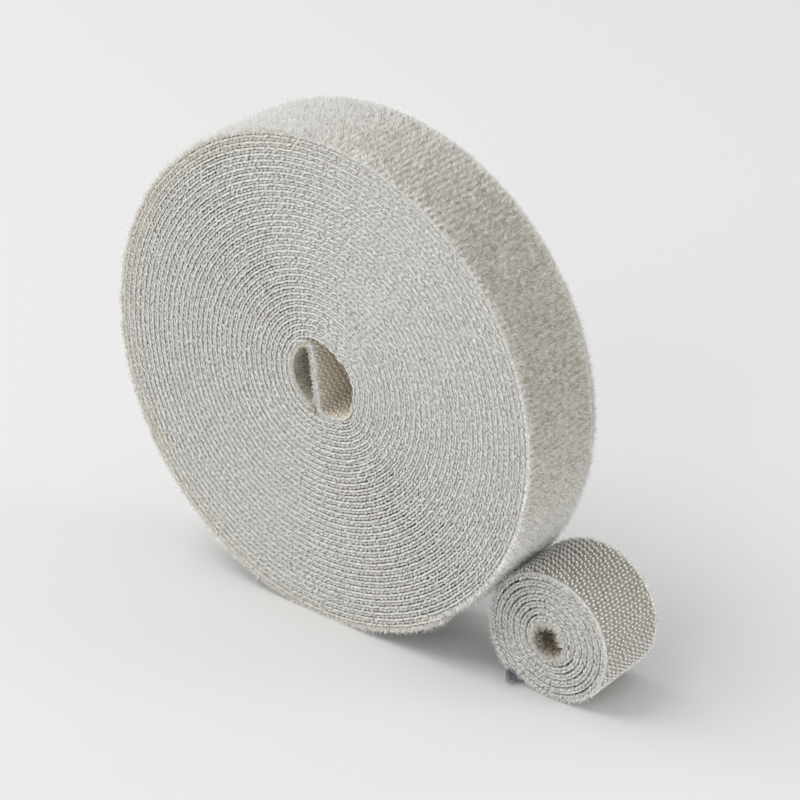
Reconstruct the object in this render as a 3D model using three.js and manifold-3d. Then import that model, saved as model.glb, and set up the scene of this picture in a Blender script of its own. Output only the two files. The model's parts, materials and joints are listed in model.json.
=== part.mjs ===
// A roll of two-sided hook and loop tape, wound on its own folded inner end, with a short coil of
// narrower tape standing against it. Each tape is a loop web and a hook web bonded back to back.
// Millimetres, +Z up. Both coils' axes run along Y and they are wound outwards anticlockwise,
// seen from the front (-Y). The origin is the middle of the roll's resting flat.
import * as THREE from 'three';
import { mergeVertices } from 'three/addons/utils/BufferGeometryUtils.js';
import Module from 'manifold-3d';

// Tape
const LOOP_WEB = 0.42; // pile pressed between two turns
const HOOK_WEB = 0.42; // hooks pressed into the pile of the next turn
const BOND_GAP = 0.25; // stands for the bonding film between the webs
const TURN_GAP = 0.28; // least room between two turns
const FREE_STAND = 0.5; // how much further the outermost turn's uncovered pile or hooks stand up
const SEGMENT_GAP = 0.3; // between two stretches of one tape at a bend line
const REST_CUT = 0.5; // depth of the flat that each coil rests on

// Roll
const ROLL_WIDTH = 20;
const ROLL_RADIUS = 50; // to the uncovered pile, straight below the axis
const ROLL_EYE_RADIUS = 7.6; // to the first turn's hooks, at the start of the winding
const ROLL_EYE_SHIFT = [1.2, 2.2]; // x and z of the eye's centre from the roll's axis
const ROLL_START_DEG = -82.5;
const ROLL_BEND_DEG = [285, 296.25]; // the tape end's two bend lines
const ROLL_TIP_DEG = 307.5;
const ROLL_MOST_LOOPS = 24;
const ROLL_COARSE_LOOPS = 13; // inner loops drawn with fewer steps

// Folded inner end of the roll
const FOLD_TOP_BEND = 1.6; // middle of the tape
const FOLD_BOTTOM_BEND = 1.6;
const FOLD_TILT_DEG = 7.5; // of the divider, from upright
const FOLD_END_DEG = 248;
const FOLD_WALL_GAP = 0.6; // between the fold's outer wall and the first turn

// Short coil
const COIL_WIDTH = 16.5;
const COIL_RADIUS = 12.9; // to the uncovered hooks, straight below the axis
const COIL_EYE_RADIUS = 3.2;
const COIL_START_DEG = -7.5;
const COIL_BEND_DEG = [172.5]; // the tape end's bend line
const COIL_TIP_DEG = 230;
const COIL_MOST_LOOPS = 24;
const COIL_COARSE_LOOPS = 5;
const COIL_SHIFT_Y = 2.7; // its middle stands behind the roll's middle
const COIL_CLEARANCE = 0.7; // between the two coils where they meet, filled by standing fibres
const COIL_SIDE_DEG = 325; // direction from the roll's axis to where they meet

// Facets
const COARSE_STEPS = 12; // in one loop; each finer count doubles it, so that facets stay parallel
const MIDDLE_STEPS = 24;
const ROLL_OUTER_STEPS = 48;
const COIL_OUTER_STEPS = 24;
const FOLD_STEP_DEG = 22.5;
const LEAST_STEP = 0.25; // of a facet, so that a stretch's ends make no sliver
const HALF_STEP = 0.5;
const WELD = 1e-4; // points this near each other are one

const LOOP_COLOR = 0xcfccc6;
const HOOK_COLOR = 0xc6c1b8;
const ROUGHNESS = 0.95;

const wasm = await Module();
wasm.setup();

const radians = THREE.MathUtils.degToRad;
const along = (deg, length) => new THREE.Vector2(length, 0).rotateAround(new THREE.Vector2(), radians(deg));

// Offsets are measured from the middle of the bond, positive towards the coil's axis.
const HALF_BOND = BOND_GAP / 2;
const LEAST_PITCH = LOOP_WEB + BOND_GAP + HOOK_WEB + TURN_GAP;

// A spiral tape, parted into its winding and the stretches of its free end.
// outside and inside are the thicknesses of the web that faces out and of the one that faces in.
function spiralCoil(size) {
  const startRadius = size.eye + size.inside + HALF_BOND;
  const outFace = HALF_BOND + size.outside + FREE_STAND;
  const room = size.radius - outFace - startRadius;
  const pastStart = (size.tip - size.start) / 360;
  const partLoop = pastStart - Math.floor(pastStart);
  const belowDeg = -90 + 360 * Math.floor((size.tip + 90) / 360);
  const beforeTip = (size.tip - belowDeg) / 360;
  const fitting = Math.floor(room / LEAST_PITCH + beforeTip - partLoop);
  const loops = Math.min(size.mostLoops - 1, fitting) + partLoop;
  const pitch = room / (loops - beforeTip);

  const turnAt = (deg) => loops - (size.tip - deg) / 360;
  const stepsAt = (loop) => {
    if (loop + 1 > loops - 1) return size.outerSteps;
    return loop < size.coarseLoops ? COARSE_STEPS : MIDDLE_STEPS;
  };
  const station = (turn) => {
    const outwards = along(size.start + 360 * turn, 1);
    const centre = new THREE.Vector2(...size.eyeShift).multiplyScalar(1 - turn / loops);
    const point = outwards.clone().multiplyScalar(startRadius + pitch * turn).add(centre);
    const covered = turn < loops - 1 + HALF_STEP / size.outerSteps;
    return { point, left: outwards.negate(), free: covered ? 0 : FREE_STAND };
  };
  const stretch = (from, to) => {
    const turns = [from];
    for (let loop = Math.floor(from); loop < to; loop += 1) {
      const steps = stepsAt(loop);
      for (let step = 0; step < steps; step += 1) {
        const turn = loop + step / steps;
        const spare = LEAST_STEP / steps;
        if (turn > from + spare && turn < to - spare) turns.push(turn);
      }
    }
    return [...turns, to].map(station);
  };
  const outerRadius = (deg) => {
    const turn = loops - 1 + ((((deg - size.tip) % 360) + 360) % 360) / 360;
    return startRadius + pitch * turn + outFace;
  };
  return { ...size, startRadius, pitch, loops, outFace, turnAt, station, stretch, outerRadius };
}

// The roll's inner end, from its free edge to the start of the winding, about the eye's own centre:
// up the eye's left wall, round a tight bend at the top, down the divider, and round the bottom bend.
function foldedEnd(roll) {
  const downDeg = FOLD_TILT_DEG - 90;
  const wallRadius = roll.eye + roll.pitch / 2 - FOLD_WALL_GAP - roll.inside - HALF_BOND;
  const bottom = along(roll.start, roll.startRadius - FOLD_BOTTOM_BEND);
  const foot = bottom.clone().add(along(downDeg - 90, FOLD_BOTTOM_BEND));
  const up = along(downDeg + 180, 1);
  const side = foot.clone().add(along(downDeg - 90, FOLD_TOP_BEND));
  const reach = wallRadius - FOLD_TOP_BEND;
  const lean = side.dot(up);
  const rise = Math.sqrt(lean * lean - side.lengthSq() + reach * reach) - lean;
  const top = side.clone().addScaledVector(up, rise);
  const meetDeg = THREE.MathUtils.radToDeg(top.angle());

  const arc = (centre, radius, fromDeg, toDeg) => {
    const steps = Math.ceil(Math.abs(toDeg - fromDeg) / FOLD_STEP_DEG);
    const turnsLeft = Math.sign(toDeg - fromDeg);
    return Array.from({ length: steps + 1 }, (_, step) => {
      const deg = fromDeg + ((toDeg - fromDeg) * step) / steps;
      return {
        point: centre.clone().add(along(deg, radius)),
        left: along(deg, -turnsLeft),
        free: 0,
      };
    });
  };
  const wall = arc(new THREE.Vector2(), wallRadius, FOLD_END_DEG, meetDeg);
  const topBend = arc(top, FOLD_TOP_BEND, meetDeg, downDeg + 90);
  const bottomBend = arc(bottom, FOLD_BOTTOM_BEND, downDeg - 90, roll.start);
  const path = [...wall.slice(0, -1), ...topBend, ...bottomBend.slice(0, -1)];
  const shift = new THREE.Vector2(...roll.eyeShift);
  path.forEach((place) => place.point.add(shift));
  return path;
}

// The two faces of a web along a path, as points: near is the bonded face, far the working face.
function webFaces(path, thickness, towardsAxis, outermost) {
  const side = towardsAxis ? 1 : -1;
  const face = (depth) => path.map((place) => {
    const extra = outermost && depth > HALF_BOND ? place.free : 0;
    return place.point.clone().addScaledVector(place.left, side * (depth + extra));
  });
  return { near: face(HALF_BOND), far: face(HALF_BOND + thickness) };
}

// Least distance between two turns of one web, from the points of each face to the runs of both,
// leaving out what lies within a given length along the tape.
function leastGap({ near, far }, sameTurn) {
  let least = Infinity;
  const closest = new THREE.Vector3();
  const run = new THREE.Line3();
  const flat = (point) => new THREE.Vector3(point.x, point.y, 0);
  const lengths = [0];
  for (let i = 1; i < near.length; i += 1) lengths.push(lengths[i - 1] + near[i].distanceTo(near[i - 1]));
  const pair = (points, runs) => points.forEach((point, i) => {
    for (let j = 0; j + 1 < runs.length; j += 1) {
      const apart = Math.min(Math.abs(lengths[i] - lengths[j]), Math.abs(lengths[i] - lengths[j + 1]));
      if (apart < sameTurn) continue;
      run.set(flat(runs[j]), flat(runs[j + 1]));
      run.closestPointToPoint(flat(point), true, closest);
      least = Math.min(least, closest.distanceTo(flat(point)));
    }
  });
  pair(near, far);
  pair(far, near);
  pair(near, near);
  pair(far, far);
  return least;
}

// A web as a solid: its edge outline, drawn in X and Z, as deep as the tape is wide.
function webGeometry({ near, far }, width) {
  const shape = new THREE.Shape([...near, ...far.slice().reverse()]);
  const geometry = new THREE.ExtrudeGeometry(shape, { depth: width, bevelEnabled: false });
  geometry.translate(0, 0, -width / 2);
  geometry.rotateX(Math.PI / 2);
  return geometry;
}

function toSolid(geometry) {
  const bare = geometry.clone();
  bare.deleteAttribute('normal');
  bare.deleteAttribute('uv');
  const merged = mergeVertices(bare, WELD);
  return new wasm.Manifold(new wasm.Mesh({
    numProp: 3,
    vertProperties: new Float32Array(merged.attributes.position.array),
    triVerts: new Uint32Array(merged.index.array),
  }));
}

function toGeometry(solid) {
  const mesh = solid.getMesh();
  const geometry = new THREE.BufferGeometry();
  geometry.setAttribute('position', new THREE.BufferAttribute(mesh.vertProperties, 3));
  geometry.setIndex(new THREE.BufferAttribute(mesh.triVerts, 1));
  const flat = geometry.toNonIndexed();
  flat.computeVertexNormals();
  return flat;
}

// Cuts away what lies below a level.
function cutFlat(geometry, level, size) {
  const below = new THREE.BoxGeometry(2 * size, 2 * size, size);
  below.translate(0, 0, level - size / 2);
  return toGeometry(toSolid(geometry).subtract(toSolid(below)));
}

function finish(color) {
  return new THREE.MeshStandardMaterial({ color, roughness: ROUGHNESS, metalness: 0 });
}

// Both webs of one stretch of tape, in the coil's own centre.
function addStretch(group, coil, name, path, restLevel) {
  const webs = [
    { label: 'loop', thickness: LOOP_WEB, inner: !coil.loopOutside, color: LOOP_COLOR },
    { label: 'hook', thickness: HOOK_WEB, inner: coil.loopOutside, color: HOOK_COLOR },
  ];
  for (const web of webs) {
    const faces = webFaces(path, web.thickness, web.inner, !web.inner);
    let geometry = webGeometry(faces, coil.width);
    if (restLevel !== null && !web.inner) geometry = cutFlat(geometry, restLevel, coil.radius);
    const mesh = new THREE.Mesh(geometry, finish(web.color));
    mesh.name = `${name}_${web.label}_web`;
    group.add(mesh);
    if (restLevel !== null) {
      console.log(`${mesh.name}: least gap to itself ${leastGap(faces, coil.eye).toFixed(2)} mm`);
    }
  }
}

// The winding and the bending stretches of the tape's free end. Returns the group, with the
// coil's axis at its own origin, and the height of that axis over the surface that it stands on.
function buildCoil(names, coil, innerEnd) {
  const group = new THREE.Group();
  const halfGap = (turn) => SEGMENT_GAP / (4 * Math.PI * (coil.startRadius + coil.pitch * turn));
  const bends = coil.bends.map(coil.turnAt);
  const starts = [0, ...bends.map((turn) => turn + halfGap(turn))];
  const stops = [...bends.map((turn) => turn - halfGap(turn)), coil.loops];
  const winding = [...innerEnd, ...coil.stretch(starts[0], stops[0])];
  const outline = webFaces(winding, coil.outside, false, true).far;
  const restLevel = Math.min(...outline.map((point) => point.y)) + REST_CUT;
  addStretch(group, coil, names[0], winding, restLevel);
  for (let i = 1; i < names.length; i += 1) {
    addStretch(group, coil, names[i], coil.stretch(starts[i], stops[i]), null);
  }
  return { group, height: -restLevel, bends };
}

// Where a coil's free end bends: on its outer face, so that opening it never pinches two stretches.
function printBends(name, coil, built) {
  for (const turn of built.bends) {
    const { point, left } = coil.station(turn);
    const line = point.clone().addScaledVector(left, -coil.outFace);
    const x = built.group.position.x + line.x;
    const z = built.group.position.z + line.y;
    console.log(`${name}: bend line at x ${x.toFixed(3)}, z ${z.toFixed(3)} mm`);
  }
}

const rollSpiral = spiralCoil({
  width: ROLL_WIDTH,
  radius: ROLL_RADIUS,
  eye: ROLL_EYE_RADIUS,
  eyeShift: ROLL_EYE_SHIFT,
  start: ROLL_START_DEG,
  bends: ROLL_BEND_DEG,
  tip: ROLL_TIP_DEG,
  mostLoops: ROLL_MOST_LOOPS,
  coarseLoops: ROLL_COARSE_LOOPS,
  outerSteps: ROLL_OUTER_STEPS,
  loopOutside: true,
  outside: LOOP_WEB,
  inside: HOOK_WEB,
});
const roll = buildCoil(['roll_winding', 'roll_end_near', 'roll_end_tip'], rollSpiral, foldedEnd(rollSpiral));
roll.group.position.set(0, 0, roll.height);

const coilSpiral = spiralCoil({
  width: COIL_WIDTH,
  radius: COIL_RADIUS,
  eye: COIL_EYE_RADIUS,
  eyeShift: [0, 0],
  start: COIL_START_DEG,
  bends: COIL_BEND_DEG,
  tip: COIL_TIP_DEG,
  mostLoops: COIL_MOST_LOOPS,
  coarseLoops: COIL_COARSE_LOOPS,
  outerSteps: COIL_OUTER_STEPS,
  loopOutside: false,
  outside: HOOK_WEB,
  inside: LOOP_WEB,
});
const coil = buildCoil(['coil_winding', 'coil_end'], coilSpiral, []);
const reach = rollSpiral.outerRadius(COIL_SIDE_DEG) + coilSpiral.outerRadius(COIL_SIDE_DEG - 180);
const apart = reach + COIL_CLEARANCE;
const drop = roll.height - coil.height;
coil.group.position.set(Math.sqrt(apart * apart - drop * drop), COIL_SHIFT_Y, coil.height);

printBends('roll', rollSpiral, roll);
printBends('coil', coilSpiral, coil);

const part = new THREE.Group();
part.add(roll.group, coil.group);

export default part;
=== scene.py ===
import json
import math

import bpy
import numpy as np
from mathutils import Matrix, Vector


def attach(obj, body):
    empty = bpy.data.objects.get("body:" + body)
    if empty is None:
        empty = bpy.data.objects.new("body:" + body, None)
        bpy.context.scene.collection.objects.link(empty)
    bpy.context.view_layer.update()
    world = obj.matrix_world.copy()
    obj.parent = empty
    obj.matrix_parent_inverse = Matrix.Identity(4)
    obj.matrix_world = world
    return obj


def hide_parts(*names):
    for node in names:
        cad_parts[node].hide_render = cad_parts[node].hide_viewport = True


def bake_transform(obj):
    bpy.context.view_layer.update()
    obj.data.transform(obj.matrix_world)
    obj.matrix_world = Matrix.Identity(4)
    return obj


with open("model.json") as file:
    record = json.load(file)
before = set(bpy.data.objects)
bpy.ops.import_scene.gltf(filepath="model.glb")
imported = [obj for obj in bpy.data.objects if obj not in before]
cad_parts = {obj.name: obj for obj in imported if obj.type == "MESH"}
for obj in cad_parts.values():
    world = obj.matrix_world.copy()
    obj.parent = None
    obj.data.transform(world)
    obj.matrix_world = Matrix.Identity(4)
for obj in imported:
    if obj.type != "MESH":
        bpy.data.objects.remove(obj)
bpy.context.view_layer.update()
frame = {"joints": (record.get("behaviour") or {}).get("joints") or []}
JOINTS = {joint["name"]: joint for joint in frame["joints"]}
MM = 0.001
EDGES = ((-1, "front"), (1, "back"))


# Materials

FIBRE_PATCHES = 300
FILAMENT_PATCHES = 1500
NOISE_DETAIL = 3.0
NOISE_ROUGHNESS = 0.65
TONE_ENDS = (0.32, 0.68)
BUMP_PATCHES = 2500
BUMP_DETAIL = 2.0
BUMP_HEIGHT = 0.15 * MM


def fabric(name, low, high, patches, rough=0.9, shine=0.15, bump=0.0):
    """Cloth whose colour drifts between two tones, in about so many patches to a metre."""
    mat = bpy.data.materials.new(name)
    mat.use_nodes = True
    nodes, links = mat.node_tree.nodes, mat.node_tree.links
    shader = nodes["Principled BSDF"]
    shader.inputs["Roughness"].default_value = rough
    shader.inputs["Specular IOR Level"].default_value = shine
    place = nodes.new("ShaderNodeTexCoord")
    noise = nodes.new("ShaderNodeTexNoise")
    noise.inputs["Scale"].default_value = patches
    noise.inputs["Detail"].default_value = NOISE_DETAIL
    noise.inputs["Roughness"].default_value = NOISE_ROUGHNESS
    links.new(place.outputs["Object"], noise.inputs["Vector"])
    ramp = nodes.new("ShaderNodeValToRGB")
    for element, position, tone in zip(ramp.color_ramp.elements, TONE_ENDS, (low, high)):
        element.position = position
        element.color = (*tone, 1)
    links.new(noise.outputs["Fac"], ramp.inputs["Fac"])
    links.new(ramp.outputs["Color"], shader.inputs["Base Color"])
    if bump:
        fine = nodes.new("ShaderNodeTexNoise")
        fine.inputs["Scale"].default_value = BUMP_PATCHES
        fine.inputs["Detail"].default_value = BUMP_DETAIL
        links.new(place.outputs["Object"], fine.inputs["Vector"])
        lift = nodes.new("ShaderNodeBump")
        lift.inputs["Strength"].default_value = bump
        lift.inputs["Distance"].default_value = BUMP_HEIGHT
        links.new(fine.outputs["Fac"], lift.inputs["Height"])
        links.new(lift.outputs["Normal"], shader.inputs["Normal"])
    return mat


def fibre(name, low, high, rough=0.8):
    """Soft thread."""
    return fabric(name, low, high, FIBRE_PATCHES, rough)


def filament(name, low, high):
    """Hard and shiny thread, as the hooks are made of."""
    return fabric(name, low, high, FILAMENT_PATCHES, rough=0.28, shine=0.5)


LOOP_WEB = fabric("loop_web", (0.54, 0.515, 0.47), (0.70, 0.68, 0.635), patches=900, bump=0.6)
# The pile's ground is dark: painted shade deep in the loop pile, under its fibres.
PILE_GROUND_SHADE = fabric("loop_pile_ground", (0.30, 0.275, 0.23), (0.50, 0.475, 0.42), patches=900, bump=0.6)
HOOK_WEB = fabric("hook_web", (0.56, 0.545, 0.51), (0.75, 0.745, 0.72), patches=1100, bump=0.5)
# The roll's hook ground, seen in its eye, is warm and light: painted light, for the light that falls into
# the eye and bounces round warm inside it.
ROLL_GROUND_WARM_LIGHT = fabric("roll_hook_ground", (0.59, 0.51, 0.395), (0.79, 0.715, 0.595), patches=1200, bump=0.5)
# The short coil's hook ground is dark: painted shade between its hooks.
COIL_GROUND_SHADE = fabric("coil_hook_ground", (0.22, 0.20, 0.165), (0.43, 0.41, 0.36), patches=1800, bump=0.7)
LOOP_KNIT = fabric("loop_knit", (0.60, 0.58, 0.54), (0.80, 0.785, 0.755), patches=1500, bump=0.8)
HOOK_KNIT = fabric("hook_knit", (0.61, 0.605, 0.58), (0.77, 0.77, 0.75), patches=1300, bump=0.5)
# Paler beige knit for worn edges: wear, and painted light on the side the key lamp lights.
WORN_LIT_KNIT = fabric("worn_knit", (0.65, 0.605, 0.53), (0.82, 0.78, 0.71), patches=1500, bump=0.8)
# Cream thread: in the worn fringes, wear and painted light; at the mouth of the roll's eye, painted light.
CREAM = fibre("fibre_cream", (0.78, 0.72, 0.61), (0.90, 0.85, 0.76), rough=0.75)
FIBRES = [
    fibre("fibre_pale", (0.86, 0.855, 0.835), (0.95, 0.95, 0.94), rough=0.7),
    fibre("fibre_grey", (0.58, 0.57, 0.54), (0.72, 0.71, 0.685), rough=0.75),
    fibre("fibre_warm", (0.45, 0.415, 0.35), (0.61, 0.585, 0.525)),
    # The darkest fibres are painted shade: dark specks in the gaps of the pile.
    fibre("fibre_brown", (0.20, 0.165, 0.12), (0.34, 0.285, 0.22)),
    CREAM,
]
# Threads for the eyes: cream at the mouths, olive and umber deeper in. This is painted light at the mouths,
# and painted shade, warm from light bounced inside, deeper in.
EYE_SHADE_FIBRES = [
    CREAM,
    fibre("fibre_olive", (0.62, 0.51, 0.34), (0.76, 0.65, 0.48)),
    fibre("fibre_umber", (0.22, 0.175, 0.115), (0.36, 0.295, 0.21)),
]
LINT_AND_SHADE_THREADS = [
    # The dark and grey threads serve only the tuft at the short coil's cut: painted shade. The others are
    # lint.
    fibre("lint_dark", (0.10, 0.10, 0.105), (0.22, 0.22, 0.23)),
    fibre("lint_green", (0.03, 0.30, 0.26), (0.08, 0.45, 0.40)),
    fibre("lint_red", (0.45, 0.10, 0.08), (0.60, 0.22, 0.17)),
    fibre("lint_ochre", (0.50, 0.38, 0.10), (0.62, 0.50, 0.20)),
    fibre("lint_grey", (0.24, 0.24, 0.26), (0.42, 0.42, 0.44)),
]
HOOKS = filament("hook_filament", (0.76, 0.745, 0.71), (0.92, 0.915, 0.89))
# Cream hooks for the roll's eye: the hooks' pale filament with painted warm light, bounced inside the eye.
EYE_HOOKS_WARM_LIGHT = filament("eye_hook_filament", (0.78, 0.72, 0.61), (0.93, 0.90, 0.83))

# The share of each kind of thread: four sets of FIBRES, two of the eyes' threads and two of the lint and
# shade threads
PILE_SHARES = (0.50, 0.17, 0.17, 0.16, 0.0)
EDGE_SHARES = (0.46, 0.33, 0.15, 0.06, 0.0)
# Mostly pale threads for fringes: painted light, the light that the fringe fibres catch and let through at
# the edges.
LIT_RIM_SHARES = (0.74, 0.16, 0.10, 0.0, 0.0)
# Pale and cream threads for worn fringes: wear, and painted light.
WORN_LIT_RIM_SHARES = (0.30, 0.08, 0.10, 0.0, 0.52)
# The eyes' olive and umber shares are painted shade, darkest in the short coil's narrow eye.
EYE_SHADE_SHARES = (0.40, 0.56, 0.04)
COIL_EYE_SHADE_SHARES = (0.16, 0.54, 0.30)
LINT_SHARES = (0.0, 0.4, 0.35, 0.25, 0.0)
# Dark and grey threads for the tuft at the short coil's cut: painted shade.
SHADE_TUFT_SHARES = (0.3, 0.0, 0.0, 0.0, 0.7)


# Meshes

CLOTH_LEAST = 0.02 * MM
FIBRE_LEAST = 0.01 * MM


def new_mesh(name, points, faces, materials, slots=None, smooth=True):
    """faces is one array for each number of corners; slots has a material number for each face."""
    data = bpy.data.meshes.new(name)
    counts = np.concatenate([np.full(len(f), f.shape[1]) for f in faces])
    corners = np.concatenate([f.ravel() for f in faces])
    data.vertices.add(len(points))
    data.vertices.foreach_set("co", np.ascontiguousarray(points, np.float32).ravel())
    data.loops.add(len(corners))
    data.loops.foreach_set("vertex_index", corners.astype(np.int32))
    data.polygons.add(len(counts))
    starts = np.concatenate([[0], np.cumsum(counts)[:-1]])
    data.polygons.foreach_set("loop_start", starts.astype(np.int32))
    data.polygons.foreach_set("use_smooth", np.full(len(counts), smooth))
    for mat in materials:
        data.materials.append(mat)
    if slots is not None:
        data.polygons.foreach_set("material_index", np.asarray(slots, np.int32))
    data.update(calc_edges=True)
    data.validate()
    obj = bpy.data.objects.new(name, data)
    bpy.context.scene.collection.objects.link(obj)
    return obj


def keep_above(points, least):
    """Lifts the points that would lie in the surface under the part."""
    points[:, 2] = np.maximum(points[:, 2], least)


# Wound tapes. These sizes are those of the CAD source: from the middle of the bond out to each face, and the
# further stand of the uncovered face.

WEB = 0.42 * MM
HALF_BOND = 0.125 * MM
FREE_STAND = 0.5 * MM
INNER_STAND = HALF_BOND + WEB
OUTER_STAND = INNER_STAND + FREE_STAND
REST_CUT = 0.5 * MM
LUMP_LOOPS = 10
NEARBY = 0.1 * MM


def along(deg, size=1.0):
    """Ways, or points at a distance, at angles in X and Z."""
    angle = np.radians(np.atleast_1d(deg))
    return np.stack([np.cos(angle), np.sin(angle)], 1) * size


class Path:
    """A tape's middle line, in X and Z about its coil's axis, with the ways out and the length so far."""

    def __init__(self, points, out, turns):
        self.points, self.out, self.turns = points, out, turns
        steps = np.linalg.norm(np.diff(points, axis=0), axis=1)
        self.length = np.concatenate([[0], np.cumsum(steps)])

    def at(self, s):
        """Points, ways out and ways along at lengths s."""
        both = np.hstack([self.points, self.out])
        x, z, out_x, out_z = (np.interp(s, self.length, column) for column in both.T)
        size = np.hypot(out_x, out_z)
        ahead, behind = (
            np.stack([np.interp(s + step, self.length, column) for column in self.points.T], 1)
            for step in (NEARBY, -NEARBY)
        )
        way = ahead - behind
        way /= np.linalg.norm(way, axis=1)[:, None]
        return np.stack([x, z], 1), np.stack([out_x / size, out_z / size], 1), way

    def joined(self, other):
        return Path(
            np.vstack([self.points, other.points]),
            np.vstack([self.out, other.out]),
            np.concatenate([self.turns, other.turns]),
        )


class Coil:
    """A tape wound from the angle start, round whole turns and on to the angle of its tip. The eye and the
    radius reach from the axis to its first and last faces, the radius straight below. Its inner loops lie
    off the axis by shift, and lumps, each an angle, a spread in degrees and a height, press them out of
    round. Both die away further out."""

    def __init__(self, width, eye, radius, start, tip, turns, shift=(0, 0), lumps=()):
        self.half, self.start, self.tip = width / 2, start, tip
        self.shift, self.lumps = np.array(shift), lumps
        self.axis = np.array((0, 0, radius - REST_CUT))
        self.loops = turns + (tip - start) / 360
        self.inner = eye + INNER_STAND
        before_tip = ((tip + 90) % 360) / 360
        self.pitch = (radius - OUTER_STAND - self.inner) / (self.loops - before_tip)

    def turn(self, deg):
        """The turn at an angle on the last loop."""
        return self.loops - (self.tip - deg) / 360

    def outer_radius(self, deg):
        """From the axis to the last face, at an angle on the last loop."""
        return self.inner + self.pitch * self.turn(deg) + OUTER_STAND

    def spiral(self, first, last, step):
        """The path between two turns."""
        def length(turn):
            return 2 * math.pi * (self.inner * turn + self.pitch * turn * turn / 2)

        count = max(2, round((length(last) - length(first)) / step))
        s = np.linspace(length(first), length(last), count + 1)
        turns = (np.sqrt(self.inner**2 + self.pitch * s / math.pi) - self.inner) / self.pitch
        angle = math.radians(self.start) + 2 * math.pi * turns
        out = np.stack([np.cos(angle), np.sin(angle)], 1)
        points = out * (self.inner + self.pitch * turns)[:, None]
        points += self.shift * (1 - turns / self.loops)[:, None]
        for deg, spread, height in self.lumps:
            apart = (np.degrees(angle) - deg + 180) % 360 - 180
            lump = height * np.exp(-((apart / spread) ** 2)) * np.clip(1 - turns / LUMP_LOOPS, 0, 1)
            points += out * lump[:, None]
        return Path(points, out, turns)

    def place(self, flat, y):
        """Points in the frame from X and Z about the axis, and from the distance along it."""
        return np.stack([flat[:, 0] + self.axis[0], y + self.axis[1], flat[:, 1] + self.axis[2]], 1)


ROLL = Coil(
    width=20 * MM, eye=7.6 * MM, radius=50 * MM, start=-82.5, tip=307.5, turns=33,
    shift=(1.2 * MM, 2.2 * MM), lumps=((60, 50, -1.55 * MM), (-48, 22, 1.05 * MM)),
)
COIL = Coil(width=16.5 * MM, eye=3.2 * MM, radius=12.9 * MM, start=-7.5, tip=230, turns=6)

# The short coil's axis, from the line on its last face where its free end bends
COIL_BEND_DEG = 172.5
bend_x, bend_z = along(COIL_BEND_DEG, COIL.outer_radius(COIL_BEND_DEG))[0]
COIL.axis = np.array(JOINTS["coil_end_peel"]["pos_m"]) - (bend_x, 0, bend_z)

FOLD_TILT_DEG = 7.5
FOLD_END_DEG = 248.0
FOLD_BEND = 1.6 * MM
FOLD_WALL = 7.34 * MM
LEAST_STEP = 0.001 * MM


def folded_end(step):
    """The roll's inner end: up the eye's left wall, round the top bend, down the divider and round the
    bottom bend."""
    down = FOLD_TILT_DEG - 90
    bottom = along(ROLL.start, ROLL.inner - FOLD_BEND)[0]
    foot = bottom + along(down - 90, FOLD_BEND)[0]
    up = along(down + 180)[0]
    side = foot + along(down - 90, FOLD_BEND)[0]
    reach, lean = FOLD_WALL - FOLD_BEND, side @ up
    top = side + up * (math.sqrt(lean**2 - side @ side + reach**2) - lean)
    meet = math.degrees(math.atan2(top[1], top[0])) % 360

    def arc(centre, radius, first, last):
        count = max(3, round(abs(math.radians(last - first)) * radius / step))
        deg = np.linspace(first, last, count + 1)
        return centre + along(deg, radius), along(deg, math.copysign(1, last - first))

    wall = arc(np.zeros(2), FOLD_WALL, FOLD_END_DEG, meet)
    top_bend = arc(top, FOLD_BEND, meet, down + 90)
    bottom_bend = arc(bottom, FOLD_BEND, down - 90, ROLL.start)
    first, last = top_bend[0][-1], bottom_bend[0][0]
    count = max(2, round(np.linalg.norm(last - first) / step))
    share = np.linspace(0, 1, count + 1)[1:-1, None]
    divider = (first + (last - first) * share, np.repeat(top_bend[1][-1:], count - 1, 0))
    points, out = (np.vstack(rows) for rows in zip(wall, top_bend, divider, bottom_bend))
    keep = np.concatenate([[True], np.linalg.norm(np.diff(points, axis=0), axis=1) > LEAST_STEP])
    keep[-1] = False
    return Path(points[keep] + ROLL.shift, out[keep], np.full(keep.sum(), -1.0))


def frame_at(coil, path, s, y, offset):
    """Places on a tape, with the ways out, along and across."""
    def lifted(way):
        return np.stack([way[:, 0], np.zeros(len(way)), way[:, 1]], 1)

    point, out, way = path.at(s)
    base = coil.place(point + out * np.reshape(offset, (-1, 1)), y)
    return base, lifted(out), lifted(way), np.tile([0.0, 1.0, 0.0], (len(s), 1))


def length_at(coil, path, deg, further_in=0):
    """The length along a winding at an angle on its last loop, or on a loop further in."""
    return np.interp(coil.turn(deg) - further_in, path.turns, path.length)


# One web of a tape

FACE_INSET = 0.65 * MM
EDGE_INSET = 0.3 * MM
BEVEL_SHARE = 0.15
DRIFT = 0.05
BACK_PHASE = 1.3
OUTER_PHASE = 1.9
LUMP_MIDDLE = 0.6
LUMP_STRAY = 0.12
SWELL_SHARE = 0.10
SWELL_MIDDLE = 0.3


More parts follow.
